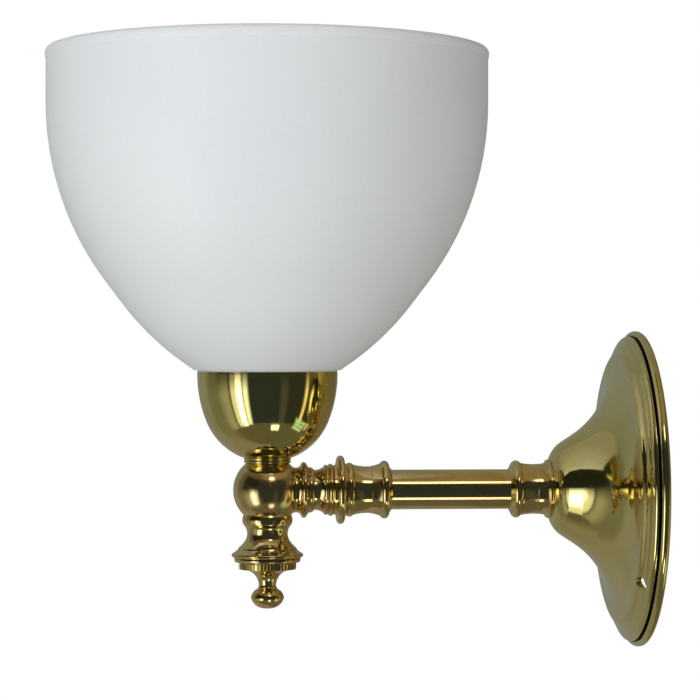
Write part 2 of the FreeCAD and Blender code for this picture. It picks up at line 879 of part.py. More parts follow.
def screw_shell():
    """Brass shell for the lamp's cap, with a foot that stands on the insert."""
    low = holder_a + insert_a + insert_t
    high = holder_a + holder_h - skirt_lip
    bore = socket_d / 2
    foot_r = insert_d / 2 - slip_clear
    return on_head(lathe(
        (bore - 1.8, low),
        (foot_r, low),
        (foot_r, low + shell_wall),
        (bore + shell_wall, low + shell_wall),
        (bore + shell_wall, high),
        (bore, high),
        (bore, low + shell_wall),
        (bore - 1.8, low + shell_wall),
    ))


def centre_contact():
    """Sprung brass tongue in the insert's well: a short foot and a rising blade."""
    low = holder_a + insert_a + insert_t - well_depth + contact_gap
    start = -contact_len / 2
    knee = start + contact_foot
    end = contact_len / 2
    tip = low + contact_rise
    side = -contact_w / 2
    corners = [
        V(start, side, low),
        V(knee, side, low),
        V(end, side, tip),
        V(end, side, tip + contact_t),
        V(knee - contact_t * 0.4, side, low + contact_t),
        V(start, side, low + contact_t),
        V(start, side, low),
    ]
    return on_head(Part.Face(Part.makePolygon(corners)).extrude(V(0, contact_w, 0)))


# Shade and what clamps it

def shade_runs():
    """Runs of the shade's outside from below the lip to its foot."""
    side_heading = -90 - shade_side_deg
    side = turn_shift(shade_side_r, -90, side_heading)
    way = math.radians(side_heading)
    side_wall_r = shade_d / 2 - shade_lip_out
    reached_r = side_wall_r + side[0] + shade_run * math.cos(way)
    # The base turn ends at the foot's radius
    end = -math.sin(way) + (shade_foot_r - reached_r) / shade_base_r
    base_heading = -180 + math.degrees(math.asin(end))
    base = turn_shift(shade_base_r, side_heading, base_heading)
    drop = -(side[1] + shade_run * math.sin(way) + base[1])
    straight = shade_h - shade_lip_h - drop - shade_corner / 2
    return [(straight,), (shade_side_r, side_heading), (shade_run,), (shade_base_r, base_heading)]


def shade():
    runs = shade_runs()
    top = foot_a + shade_h
    side_r = shade_d / 2 - shade_lip_out
    start = (side_r, top - shade_lip_h)
    outer, foot, _ = chain(start, -90, runs)
    inner, floor, _ = chain(start, -90, runs, -shade_wall)
    inner_r = side_r - shade_wall
    hole = shade_hole_d / 2
    lip_r = shade_d / 2
    round_r = (lip_r - inner_r) / 2
    lip = edges_of(
        start,
        ((lip_r - 0.1, top - shade_lip_h * 0.75), (lip_r, top - round_r)),
        ((lip_r - round_r, top), (inner_r, top - round_r)),
        (inner_r, top - shade_lip_h),
    )
    base = edges_of(
        foot,
        ((foot[0] - shade_corner * 0.45, foot_a + shade_corner * 0.13),
         (foot[0] - shade_corner, foot_a)),
        (hole, foot_a),
        (hole, floor[1]),
        floor,
    )
    return on_head(turned(outer + base + inner + lip)), floor[1]


def gasket():
    outer = cup_d / 2 - slip_clear
    return on_head(washer(outer, outer - gasket_w, cup_top, foot_a))


def shade_washer(low):
    inner = holder_r + loose_clear
    return on_head(washer(shade_washer_d / 2, inner, low, low + shade_washer_t))


def shade_ring(low):
    """Hand ring on the holder's outer thread, with finger grips round it."""
    high = low + shade_ring_h
    outer = shade_ring_d / 2
    inner = holder_r + thread_clear
    shape = lathe((inner, low), (outer - 0.8, low), (outer, low + 0.8), (outer, high - 0.8),
                  (outer - 0.8, high), (inner + 0.6, high), (inner, high - 0.6))
    for i in range(shade_ring_grips):
        turn = 2 * math.pi * i / shade_ring_grips
        centre = outer + grip_r - grip_depth
        grip = rod(grip_r, low - 1, high + 1, centre * math.cos(turn), centre * math.sin(turn))
        shape = shape.cut(grip)
    return on_head(shape)


# Wires: straight runs joined by tangent arcs

def wire_path(points):
    """Edges along the points, each corner rounded as far as its runs and the room allow."""
    edges = []
    radii = []
    here = points[0]
    for i in range(1, len(points) - 1):
        before = points[i - 1] - points[i]
        after = points[i + 1] - points[i]
        half = (math.pi - before.getAngle(after)) / 2
        shorter = min(before.Length, after.Length)
        radius = min(wire_bend, 0.45 * shorter / math.tan(half))
        cut = radius * math.tan(half)
        before.normalize()
        after.normalize()
        start = points[i] + before * cut
        end = points[i] + after * cut
        middle_way = before + after
        middle_way.normalize()
        middle = points[i] + middle_way * (radius / math.cos(half) - radius)
        edges.append(Part.LineSegment(here, start).toShape())
        edges.append(Part.Arc(start, middle, end).toShape())
        radii.append(round(radius, 2))
        here = end
    edges.append(Part.LineSegment(here, points[-1]).toShape())
    return Part.Wire(edges), radii


def wire(name, points):
    path, radii = wire_path(points)
    first = points[1] - points[0]
    circle = Part.Wire(Part.makeCircle(wire_d / 2, points[0], first))
    solid = path.makePipeShell([circle], True, False)
    share = solid.Volume / (math.pi * wire_d ** 2 / 4 * path.Length)
    print(name, "bend radii", radii, "length", round(path.Length, 1), "volume share", round(share, 4))
    return save(name, solid)


def lamp_wire(name, side, rod_end, foot_high):
    """From a lamp terminal through the ball and the arm's rod to its way in the block."""
    y_in = side * wire_off
    y_way = side * way_places()[-1]
    low = holder_a + insert_a - terminal_drop
    a_way = foot_high + clamp_a
    points = [
        V(-reach, side * terminal_y, low),
        V(-reach, side * terminal_y, low - wire_sides_drop),
        V(-reach, y_in, low - wire_sides_drop - 6.0),
        V(-reach, y_in, 0),
        V(-rod_end + bend_past_rod, y_in, 0),
        V(-a_way, y_way, block_middle() * 0.25),
        V(-a_way, y_way, block_middle() + clamp_len / 2),
    ]
    return wire(name, points)


def earth_wire(crimp_floor, foot_high):
    """From the earth tag's crimp past the rod's end to the middle way."""
    a_way = foot_high + clamp_a
    points = [
        V(-crimp_floor, 0, tag_tail_z),
        V(-a_way, 0, tag_tail_z),
        V(-a_way, 0, block_middle() + clamp_len / 2),
    ]
    return wire("earth_wire", points)


os.makedirs("parts", exist_ok=True)

plate, inner_seat_a = backplate()
save("backplate", plate)

washer_low = inner_seat_a - washer_t
strap_low = washer_low - strap_t
tag_low = strap_low - tag_t
lock_low = tag_low - lock_washer_t
nut_low = lock_low - nut_t
rod_low = nut_low - rod_behind_nut
foot_top = strap_foot_a + strap_t

save("back_washer", on_arm(washer(washer_d / 2, rod_hole_r, washer_low, inner_seat_a)))
save("terminal_strap", strap(washer_low, foot_top))
tag, crimp_floor = earth_tag(strap_low)
save("earth_tag", tag)
save("lock_washer", lock_washer(tag_low))
save("back_nut", on_arm(nut(nut_low, lock_low)))
save("wire_bush", bush(rod_low))

save("terminal_block", terminal_block(foot_top))
save("terminal_clamps", *terminal_clamps(foot_top))
save("clamp_screws", *clamp_screws(foot_top))
save("block_screws", *block_screws(foot_top))

arm_rod_end = reach - rod_stop
save("arm_rod", on_arm(washer(rod_r, rod_bore_d / 2, rod_low, arm_rod_end)))
save("wall_collar", wall_collar())
save("arm_tube", arm_tube())
save("outer_collar", outer_collar())
save("flange_ring", flange())
save("neck_spool", neck())

save("ball", ball())
save("finial_stem", stem())
save("bell_cap", bell_cap())
save("finial_nut", finial_nut())

save("cup_ring", neck_ring())
save("lamp_cup", lamp_cup())
cup_floor = cup_a + cup_wall
save("cup_washer", on_head(washer(washer_d / 2, rod_hole_r, cup_floor, cup_floor + washer_t)))
save("cup_nut", on_head(nut(cup_floor + washer_t, holder_a)))
save("head_rod", on_head(washer(rod_r, rod_bore_d / 2, rod_stop, holder_a + rod_in_holder)))

save("holder_cap", holder_cap())
save("holder_insert", insert())
save("lamp_terminals", *terminals())
save("terminal_screws", *terminal_screws())
save("screw_shell", screw_shell())
save("centre_contact", centre_contact())
save("holder_skirt", skirt())

bowl, shade_floor = shade()
save("shade_gasket", gasket())
save("shade", bowl)
save("shade_washer", shade_washer(shade_floor))
save("shade_ring", shade_ring(shade_floor + shade_washer_t))

lamp_wire("live_wire", -1, rod_low, foot_top)
lamp_wire("neutral_wire", 1, rod_low, foot_top)
earth_wire(crimp_floor, foot_top)

print("reach", round(reach, 2), "shade top", round(foot_a + shade_h, 2))
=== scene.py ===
# %% [markdown]
# # A brass wall uplighter with an opal glass bowl
# The turned metal, the glass and the wiring come from the imported CAD model, which is loaded here as a
# fixed frame. This script gives each piece its finish, draws the threads that CAD keeps plain, and sets
# up the camera and the light.

import math

import bpy
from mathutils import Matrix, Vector


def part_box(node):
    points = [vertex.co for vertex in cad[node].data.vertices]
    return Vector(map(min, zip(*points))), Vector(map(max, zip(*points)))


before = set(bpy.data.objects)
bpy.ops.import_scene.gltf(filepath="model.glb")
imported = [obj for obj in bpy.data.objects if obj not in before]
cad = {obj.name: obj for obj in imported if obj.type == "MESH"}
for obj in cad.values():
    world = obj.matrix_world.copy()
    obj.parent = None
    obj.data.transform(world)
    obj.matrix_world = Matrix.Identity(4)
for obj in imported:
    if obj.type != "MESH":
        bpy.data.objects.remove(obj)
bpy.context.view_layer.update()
scene = bpy.context.scene

# %% [markdown]
# The light hangs on two axes. The arm's axis lies along X at the height of the origin. The head's axis is
# vertical through the ball. Patterns that follow a lathe's tool need them, so they're read from the ball.

# %% The two axes
ball_low, ball_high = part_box("ball")
HEAD_X = (ball_low[0] + ball_high[0]) / 2
print("head axis at x =", round(HEAD_X, 4))

# %% [markdown]
# ## Camera
# The photograph was taken from about a metre away with a long lens, a few degrees from square on and level
# with the foot of the bowl. A real camera at that place gives the plate its narrow oval, where a flat
# side view would not.

# %% Camera
CAMERA_AT = (-0.1915, -0.9562, 0.0506)
CAMERA_TURN = math.radians(-5.1)
LENS_MM = 136.3
camera_data = bpy.data.cameras.new("camera")
camera_data.lens = LENS_MM
camera_data.sensor_width = 36.0
camera_data.clip_start = 0.01
camera = bpy.data.objects.new("camera", camera_data)
camera.location = CAMERA_AT
camera.rotation_euler = (math.radians(90), 0, CAMERA_TURN)
scene.collection.objects.link(camera)
scene.camera = camera
print("camera", LENS_MM, "mm at", CAMERA_AT)

# %% [markdown]
# ## Helpers for materials
# A material is a graph of nodes. These few helpers add a node, join two sockets and set values, so that
# each finish below reads as a short list of what it does.

# %% Node helpers
def node(tree, kind, **values):
    """A new node. Keywords name its properties, or its input sockets with _ for a space."""
    made = tree.nodes.new(kind)
    for key, value in values.items():
        if hasattr(made, key):
            setattr(made, key, value)
        else:
            made.inputs[key.replace("_", " ")].default_value = value
    return made


def join(tree, source, target):
    tree.links.new(source, target)


def maths(tree, operation, first, second=None, clamp=False):
    """A Math node. A number goes on the socket, and a socket is linked to it."""
    made = node(tree, "ShaderNodeMath", operation=operation, use_clamp=clamp)
    for i, value in enumerate((first, second)):
        if value is None:
            continue
        if isinstance(value, (int, float)):
            made.inputs[i].default_value = value
        else:
            join(tree, value, made.inputs[i])
    return made.outputs[0]


def ramp(tree, factor, stops):
    """A Color Ramp node with (position, value or colour) stops."""
    made = node(tree, "ShaderNodeValToRGB")
    join(tree, factor, made.inputs["Fac"])
    elements = made.color_ramp.elements
    while len(elements) < len(stops):
        elements.new(0.5)
    for element, (position, value) in zip(elements, sorted(stops, key=lambda stop: stop[0])):
        element.position = position
        colour = (value,) * 3 if isinstance(value, (int, float)) else value
        element.color = (*colour, 1)
    return made.outputs["Color"]


def mix_colours(tree, factor, first, second):
    """Blend two colours by a socket. Each colour is three numbers or a socket."""
    made = node(tree, "ShaderNodeMix", data_type="RGBA")
    join(tree, factor, [s for s in made.inputs if s.name == "Factor"][0])
    for name, value in (("A", first), ("B", second)):
        socket = [s for s in made.inputs if s.name == name and s.type == "RGBA"][0]
        if isinstance(value, bpy.types.NodeSocket):
            join(tree, value, socket)
        else:
            socket.default_value = (*value, 1)
    return [s for s in made.outputs if s.type == "RGBA"][0]


def new_group(name, inputs, outputs):
    """An empty shader node group. Inputs and outputs are (name, socket kind, default)."""
    group = bpy.data.node_groups.new(name, "ShaderNodeTree")
    for label, kind, default in inputs:
        socket = group.interface.new_socket(label, in_out="INPUT", socket_type=kind)
        if default is not None:
            socket.default_value = default
    for label, kind in outputs:
        group.interface.new_socket(label, in_out="OUTPUT", socket_type=kind)
    return group, group.nodes.new("NodeGroupInput"), group.nodes.new("NodeGroupOutput")


def placed(tree, group, **values):
    """The group as a node in a material, with its own values or links."""
    made = node(tree, "ShaderNodeGroup", node_tree=group)
    for key, value in values.items():
        socket = made.inputs[key.replace("_", " ")]
        if isinstance(value, bpy.types.NodeSocket):
            join(tree, value, socket)
        else:
            socket.default_value = value
    return made.outputs


def new_material(name):
    """A material with one Principled BSDF, and the coordinates of the piece it is on."""
    material = bpy.data.materials.new(name)
    material.use_nodes = True
    tree = material.node_tree
    shader = tree.nodes["Principled BSDF"]
    where = node(tree, "ShaderNodeTexCoord").outputs["Object"]
    return material, tree, shader, where


def bump(tree, shader, height, strength, distance):
    made = node(tree, "ShaderNodeBump", Strength=strength, Distance=distance)
    join(tree, height, made.inputs["Height"])
    join(tree, made.outputs["Normal"], shader.inputs["Normal"])


FLOAT = "NodeSocketFloat"
VECTOR = "NodeSocketVector"
print("helpers ready for shader trees and node groups")

# %% [markdown]
# ## Lathe lines
# Brass like this is turned, then buffed on a wheel. What is left is very fine rings round the piece's axis.
# A noise that reads only the place along the axis gives such rings. It could be painted as an image, but a
# one-dimensional noise stays sharp at any distance. Several finishes use it, so it's a group.

# %% Group: lathe lines
lathe_lines, group_in, group_out = new_group(
    "lathe_lines",
    [("Along", FLOAT, 0.0), ("Lines per metre", FLOAT, 5000.0)],
    [("Height", FLOAT)],
)
fine = node(lathe_lines, "ShaderNodeTexNoise", noise_dimensions="1D", Scale=1.0, Detail=3.0, Roughness=0.6)
join(lathe_lines,
     maths(lathe_lines, "MULTIPLY", group_in.outputs["Along"], group_in.outputs["Lines per metre"]),
     fine.inputs["W"])
join(lathe_lines, fine.outputs["Fac"], group_out.inputs["Height"])
print("group", lathe_lines.name, "with", len(lathe_lines.nodes), "nodes")

# %% [markdown]
# ## Handling marks
# Lacquered brass is never even. Buffing leaves soft clouds, and hands leave duller, browner patches and a
# few hairline scratches. Two noises of different size give clouds and specks, and a stretched one gives
# the hairlines.

# %% Group: handling marks
handling, group_in, group_out = new_group(
    "handling_marks",
    [("Where", VECTOR, None), ("Cloud size", FLOAT, 0.02)],
    [("Clouds", FLOAT), ("Specks", FLOAT), ("Hairlines", FLOAT)],
)
scale_up = node(handling, "ShaderNodeVectorMath", operation="SCALE")
join(handling, group_in.outputs["Where"], scale_up.inputs[0])
join(handling, maths(handling, "DIVIDE", 1.0, group_in.outputs["Cloud size"]), scale_up.inputs["Scale"])
clouds = node(handling, "ShaderNodeTexNoise", Scale=1.0, Detail=4.0, Roughness=0.55, Distortion=0.6)
join(handling, scale_up.outputs[0], clouds.inputs["Vector"])
cloud_mask = ramp(handling, clouds.outputs["Fac"], [(0.38, 0.0), (0.68, 1.0)])
join(handling, cloud_mask, group_out.inputs["Clouds"])
specks = node(handling, "ShaderNodeTexNoise", Scale=28.0, Detail=2.0, Roughness=0.5)
join(handling, scale_up.outputs[0], specks.inputs["Vector"])
speck_mask = ramp(handling, specks.outputs["Fac"], [(0.64, 0.0), (0.76, 1.0)])
join(handling, speck_mask, group_out.inputs["Specks"])
stretch = node(handling, "ShaderNodeMapping", Rotation=(0.4, 0.7, 0.2), Scale=(2.0, 60.0, 60.0))
join(handling, scale_up.outputs[0], stretch.inputs["Vector"])
hairs = node(handling, "ShaderNodeTexNoise", Scale=1.0, Detail=1.0, Roughness=0.4)
join(handling, stretch.outputs["Vector"], hairs.inputs["Vector"])
hair_mask = ramp(handling, hairs.outputs["Fac"], [(0.70, 0.0), (0.78, 1.0)])
join(handling, hair_mask, group_out.inputs["Hairlines"])
print("group", handling.name, "with", len(handling.nodes), "nodes")

# %% [markdown]
# ## Polished brass
# The metal reads as brass because its reflections are tinted, so the colour is on a fully metallic shader
# and not painted. Clouds make it duller and a little browner in patches, and the lathe lines blur the
# reflections across the axis. The arm was turned about X and the head about Z, so each gets its own copy.
# The arm, the ball and the cap are given a warmer brass colour than the spun cup and plate, a painted warm
# reflection.

# %% Brass
BRASS_BRIGHT = (0.82, 0.69, 0.28)
BRASS_DULL = (0.66, 0.53, 0.21)
# The warmer colours of the arm, the ball and the cap paint in a warm reflection
ARM_BRIGHT = (0.88, 0.67, 0.30)
ARM_DULL = (0.64, 0.47, 0.21)
PLAIN_TONES = (BRASS_BRIGHT, BRASS_DULL)
WARM_REFLECTION_TONES = (ARM_BRIGHT, ARM_DULL)
LINES_PER_METRE = 4500.0
LINE_DEPTH = 0.00004
SPUN, TURNED = 0.08, 0.15
CLOUD_SHARE, SPECK_SHARE = 0.75, 0.25
HAIRLINE_ROUGHER = 0.12


def brass(name, axis, cloud_size, smooth, dull, lines_show, tones):
    """Polished brass turned about an axis. Smooth and dull are the roughness out of and in the clouds."""
    bright, worn_tone = tones
    material, tree, shader, where = new_material(name)
    shader.inputs["Metallic"].default_value = 1.0
    apart = node(tree, "ShaderNodeSeparateXYZ")
    join(tree, where, apart.inputs[0])
    lines = placed(tree, lathe_lines, Along=apart.outputs[axis], Lines_per_metre=LINES_PER_METRE)
    marks = placed(tree, handling, Where=where, Cloud_size=cloud_size)
    worn = maths(tree, "MULTIPLY", marks["Clouds"], CLOUD_SHARE)
    spotted = maths(tree, "ADD", worn, maths(tree, "MULTIPLY", marks["Specks"], SPECK_SHARE), clamp=True)
    join(tree, mix_colours(tree, spotted, bright, worn_tone), shader.inputs["Base Color"])
    spread = maths(tree, "MULTIPLY", spotted, dull - smooth)
    scratched = maths(tree, "MULTIPLY", marks["Hairlines"], HAIRLINE_ROUGHER)
    rough = maths(tree, "ADD", maths(tree, "ADD", spread, smooth), scratched)
    join(tree, rough, shader.inputs["Roughness"])
    bump(tree, shader, lines["Height"], lines_show, LINE_DEPTH)
    return material


arm_brass = brass("arm_brass", "X", cloud_size=0.012, smooth=0.07, dull=0.18, lines_show=TURNED,
                  tones=WARM_REFLECTION_TONES)
plate_brass = brass("plate_brass", "X", cloud_size=0.030, smooth=0.05, dull=0.15, lines_show=SPUN,
                    tones=PLAIN_TONES)
head_brass = brass("head_brass", "Z", cloud_size=0.022, smooth=0.04, dull=0.10, lines_show=SPUN,
                   tones=PLAIN_TONES)
ball_brass = brass("ball_brass", "Z", cloud_size=0.006, smooth=0.11, dull=0.30, lines_show=TURNED,
                   tones=WARM_REFLECTION_TONES)
cap_brass = brass("cap_brass", "Z", cloud_size=0.010, smooth=0.07, dull=0.18, lines_show=TURNED,
                  tones=WARM_REFLECTION_TONES)
hidden_brass = brass("hidden_brass", "Z", cloud_size=0.006, smooth=0.18, dull=0.32, lines_show=TURNED,
                     tones=PLAIN_TONES)
print("brass finishes:", [m.name for m in bpy.data.materials if m.name.endswith("brass")])

# %% [markdown]
# The buffing wheel can't reach into the plate's groove, so it holds tarnish and old polish. Its colour is
# painted near black, partly that tarnish and partly painted shade of the recess. It is found by its
# distance from the arm's axis, which comes from the plate's box, and by its height above the wall.

# %% Tarnish and painted shade in the plate's groove
plate_low, plate_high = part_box("backplate")
PLATE_R = (plate_high[2] - plate_low[2]) / 2
RIM_HEIGHT = 0.0031
GROOVE_WIDTH = 0.0008
RIM_OUT = 0.0019
FRONT_EDGE_R = PLATE_R - RIM_OUT
GROOVE_REACH = 0.0020
SPILL = 0.0005
# Near black: tarnish in the groove together with the recess's shade, painted into the colour
GROOVE_TARNISH_AND_SHADE = (0.02, 0.018, 0.012)
TARNISH_ROUGHER = 0.5
tree = plate_brass.node_tree
shader = tree.nodes["Principled BSDF"]
apart = node(tree, "ShaderNodeSeparateXYZ")
join(tree, node(tree, "ShaderNodeTexCoord").outputs["Object"], apart.inputs[0])
squares = [maths(tree, "POWER", apart.outputs[side], 2.0) for side in "YZ"]
off_axis = maths(tree, "SQRT", maths(tree, "ADD", *squares))
off_wall = maths(tree, "MULTIPLY", apart.outputs["X"], -1.0)
from_middle = maths(tree, "ABSOLUTE", maths(tree, "SUBTRACT", off_wall, RIM_HEIGHT + GROOVE_WIDTH / 2))
in_band = ramp(tree, maths(tree, "DIVIDE", from_middle, GROOVE_WIDTH), [(0.50, 1.0), (0.80, 0.0)])
into_groove = maths(tree, "DIVIDE", maths(tree, "SUBTRACT", FRONT_EDGE_R + SPILL, off_axis), GROOVE_REACH)
in_ring = ramp(tree, into_groove, [(0.0, 0.0), (0.25, 1.0), (0.96, 1.0), (1.0, 0.0)])
tarnish_and_shade = maths(tree, "MULTIPLY", in_band, in_ring)
colour = shader.inputs["Base Color"].links[0].from_socket
roughness = shader.inputs["Roughness"].links[0].from_socket
# The groove's colour is mixed towards near black, as painted shade and tarnish
join(tree, mix_colours(tree, tarnish_and_shade, colour, GROOVE_TARNISH_AND_SHADE), shader.inputs["Base Color"])
join(tree, maths(tree, "ADD", roughness, maths(tree, "MULTIPLY", tarnish_and_shade, TARNISH_ROUGHER), clamp=True),
     shader.inputs["Roughness"])
print("groove", RIM_HEIGHT, "m off the wall, inside radius", round(FRONT_EDGE_R, 4))

# %% [markdown]
# ## Opal glass
# The bowl is milk-white glass with a soft satin skin. Light enters it and comes out a little further along,
# so its shadows are never hard. A low subsurface weight gives that glow, and a very faint mottle and slow
# ripples keep the wide wall from looking like plastic.

# %% Opal glass
opal, tree, shader, where = new_material("opal_glass")
shader.inputs["Roughness"].default_value = 0.42
shader.inputs["IOR"].default_value = 1.5
shader.inputs["Subsurface Weight"].default_value = 0.25
shader.inputs["Subsurface Radius"].default_value = (1.0, 1.0, 1.0)
shader.inputs["Subsurface Scale"].default_value = 0.006
mottle = node(tree, "ShaderNodeTexNoise", Scale=900.0, Detail=2.0, Roughness=0.6)
join(tree, where, mottle.inputs["Vector"])
veil = node(tree, "ShaderNodeTexNoise", Scale=16.0, Detail=2.0, Roughness=0.5)
join(tree, where, veil.inputs["Vector"])
milk = maths(tree, "ADD", maths(tree, "MULTIPLY", mottle.outputs["Fac"], 0.45),
             maths(tree, "MULTIPLY", veil.outputs["Fac"], 0.55))
join(tree, ramp(tree, milk, [(0.3, (0.80, 0.815, 0.815)), (0.7, (0.86, 0.87, 0.865))]),
     shader.inputs["Base Color"])
ripple = node(tree, "ShaderNodeTexNoise", Scale=45.0, Detail=2.0, Roughness=0.5)
join(tree, where, ripple.inputs["Vector"])
bump(tree, shader, ripple.outputs["Fac"], strength=0.08, distance=0.002)
print("opal glass with", len(tree.nodes), "nodes")

# %% [markdown]
# ## The hidden materials
# Behind the plate and inside the bowl are zinc-plated steel, black phenolic, ceramic, plastic, a pale
# rubber gasket and insulated wire. They show from the back and from above, so each has its own grain. Zinc
# plating has a fine crystalline grain, which a Voronoi texture gives.

# %% Zinc-plated steel
zinc, tree, shader, where = new_material("zinc_steel")
shader.inputs["Metallic"].default_value = 1.0
marks = placed(tree, handling, Where=where, Cloud_size=0.004)
spangle = node(tree, "ShaderNodeTexVoronoi", Scale=900.0)
join(tree, where, spangle.inputs["Vector"])
tone = maths(tree, "ADD", maths(tree, "MULTIPLY", marks["Clouds"], 0.6),
             maths(tree, "MULTIPLY", spangle.outputs["Distance"], 0.4))
join(tree, mix_colours(tree, tone, (0.62, 0.62, 0.60), (0.44, 0.45, 0.46)), shader.inputs["Base Color"])
join(tree, maths(tree, "ADD", maths(tree, "MULTIPLY", marks["Clouds"], 0.18), 0.26),
     shader.inputs["Roughness"])
bump(tree, shader, spangle.outputs["Distance"], strength=0.08, distance=0.0001)
print("zinc with", len(tree.nodes), "nodes")

# %% [markdown]
# Moulded and fired pieces share one recipe: slow changes of tone, a fine skin, and a sheen that follows the
# tone. One function makes them all, and each gives its own colours and roughness.

# %% Moulded and ceramic surfaces
MOULDED_CLOUD = 0.009
SKIN_STRENGTH = 0.25
SKIN_DEPTH = 0.00004
SKIN_GRAIN = 2500.0


def moulded(name, light, dark, smooth, dull):
    """An even moulded surface: slow tone changes, a fine grain and a roughness that follows them."""
    material, tree, shader, where = new_material(name)
    marks = placed(tree, handling, Where=where, Cloud_size=MOULDED_CLOUD)
    join(tree, mix_colours(tree, marks["Clouds"], light, dark), shader.inputs["Base Color"])
    join(tree, maths(tree, "ADD", maths(tree, "MULTIPLY", marks["Clouds"], dull - smooth), smooth),
         shader.inputs["Roughness"])
    skin = node(tree, "ShaderNodeTexNoise", Scale=SKIN_GRAIN, Detail=2.0)
    join(tree, where, skin.inputs["Vector"])
    bump(tree, shader, skin.outputs["Fac"], SKIN_STRENGTH, SKIN_DEPTH)
    print(name)
    return material


phenolic = moulded("black_phenolic", (0.018, 0.017, 0.016), (0.030, 0.028, 0.026), 0.22, 0.36)
steatite = moulded("steatite", (0.80, 0.77, 0.70), (0.70, 0.67, 0.60), 0.45, 0.65)
block_plastic = moulded("block_plastic", (0.78, 0.76, 0.70), (0.70, 0.68, 0.61), 0.35, 0.5)
bush_plastic = moulded("bush_plastic", (0.025, 0.025, 0.025), (0.045, 0.045, 0.045), 0.4, 0.55)
gasket_rubber = moulded("gasket_rubber", (0.66, 0.66, 0.60), (0.55, 0.55, 0.49), 0.55, 0.75)
brown_wire = moulded("brown_insulation", (0.16, 0.060, 0.025), (0.12, 0.045, 0.018), 0.35, 0.5)
blue_wire = moulded("blue_insulation", (0.020, 0.12, 0.45), (0.015, 0.09, 0.36), 0.35, 0.5)

# %% [markdown]
# An earth wire is half green and half yellow along its whole length. The side of the plane through both
# axes picks the colour.

# %% Green and yellow wire
earth, tree, shader, where = new_material("earth_insulation")
apart = node(tree, "ShaderNodeSeparateXYZ")
join(tree, where, apart.inputs[0])
side_of_wire = maths(tree, "GREATER_THAN", apart.outputs["Y"], 0.0)
marks = placed(tree, handling, Where=where, Cloud_size=0.006)
stripes = mix_colours(tree, side_of_wire, (0.05, 0.26, 0.05), (0.80, 0.66, 0.05))
join(tree, mix_colours(tree, maths(tree, "MULTIPLY", marks["Clouds"], 0.3), stripes, (0.10, 0.12, 0.04)),
     shader.inputs["Base Color"])
join(tree, maths(tree, "ADD", maths(tree, "MULTIPLY", marks["Clouds"], 0.15), 0.35),
     shader.inputs["Roughness"])
print("earth wire with", len(tree.nodes), "nodes")

# %% [markdown]
# ## Screw threads
# The lamp holder's sleeve and the lamp's brass shell are plain cylinders in the CAD model. Their threads
# are too fine to change the outline, so a wave that climbs by one pitch a turn tilts the surface instead.
# It only acts on the cylinder walls, which are found by their distance from the head's axis.

# %% Group: screw thread
screw_thread, group_in, group_out = new_group(
    "screw_thread",
    [("Where", VECTOR, None), ("Axis x", FLOAT, 0.0), ("Pitch", FLOAT, 0.0025), ("Low", FLOAT, 0.0),
     ("High", FLOAT, 0.1), ("Inner radius", FLOAT, 0.01), ("Outer radius", FLOAT, 0.02)],
    [("Height", FLOAT)],
)
apart = node(screw_thread, "ShaderNodeSeparateXYZ")
join(screw_thread, group_in.outputs["Where"], apart.inputs[0])
across = maths(screw_thread, "SUBTRACT", apart.outputs["X"], group_in.outputs["Axis x"])
angle = maths(screw_thread, "ARCTAN2", apart.outputs["Y"], across)
climb = maths(screw_thread, "DIVIDE", apart.outputs["Z"], group_in.outputs["Pitch"])
phase = maths(screw_thread, "SUBTRACT", maths(screw_thread, "MULTIPLY", climb, 2 * math.pi), angle)
half_wave = maths(screw_thread, "MULTIPLY", maths(screw_thread, "SINE", phase), 0.5)
wave = maths(screw_thread, "ADD", half_wave, 0.5)
squares = [maths(screw_thread, "POWER", side, 2.0) for side in (across, apart.outputs["Y"])]
radius = maths(screw_thread, "SQRT", maths(screw_thread, "ADD", *squares))
limits = [
    maths(screw_thread, "GREATER_THAN", apart.outputs["Z"], group_in.outputs["Low"]),
    maths(screw_thread, "LESS_THAN", apart.outputs["Z"], group_in.outputs["High"]),
    maths(screw_thread, "GREATER_THAN", radius, group_in.outputs["Inner radius"]),
    maths(screw_thread, "LESS_THAN", radius, group_in.outputs["Outer radius"]),
]
for limit in limits:
    wave = maths(screw_thread, "MULTIPLY", wave, limit)
join(screw_thread, wave, group_out.inputs["Height"])
print("group", screw_thread.name, "with", len(screw_thread.nodes), "nodes")

# %% [markdown]
# The sleeve's thread carries the hand ring, at 2.5 mm a turn. The shell's is the rolled thread of an E27
# lamp, at 3.63 mm a turn. Each is added to a copy of the plain finish, on top of the bump that it has.

# %% Threaded copies of two finishes
def threaded(name, plain, piece, pitch, depth, wall, ends):
    """A copy of a finish with a thread on a node's cylinder wall. Wall is the two radii that bound it, and
    ends the lengths left plain at its foot and its top."""
    low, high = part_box(piece)
    material = plain.copy()
    material.name = name
    tree = material.node_tree
    shader = tree.nodes["Principled BSDF"]
    where = node(tree, "ShaderNodeTexCoord").outputs["Object"]
    height = placed(tree, screw_thread, Where=where, Axis_x=HEAD_X, Pitch=pitch, Low=low[2] + ends[0],
                    High=high[2] - ends[1], Inner_radius=wall[0], Outer_radius=wall[1])["Height"]
    relief = node(tree, "ShaderNodeBump", Strength=1.0, Distance=depth)
    join(tree, height, relief.inputs["Height"])
    join(tree, shader.inputs["Normal"].links[0].from_socket, relief.inputs["Normal"])
    join(tree, relief.outputs["Normal"], shader.inputs["Normal"])
    print(name, "thread, pitch", pitch * 1000, "mm, from z", round(low[2] + ends[0], 4),
          "to", round(high[2] - ends[1], 4))
    return material


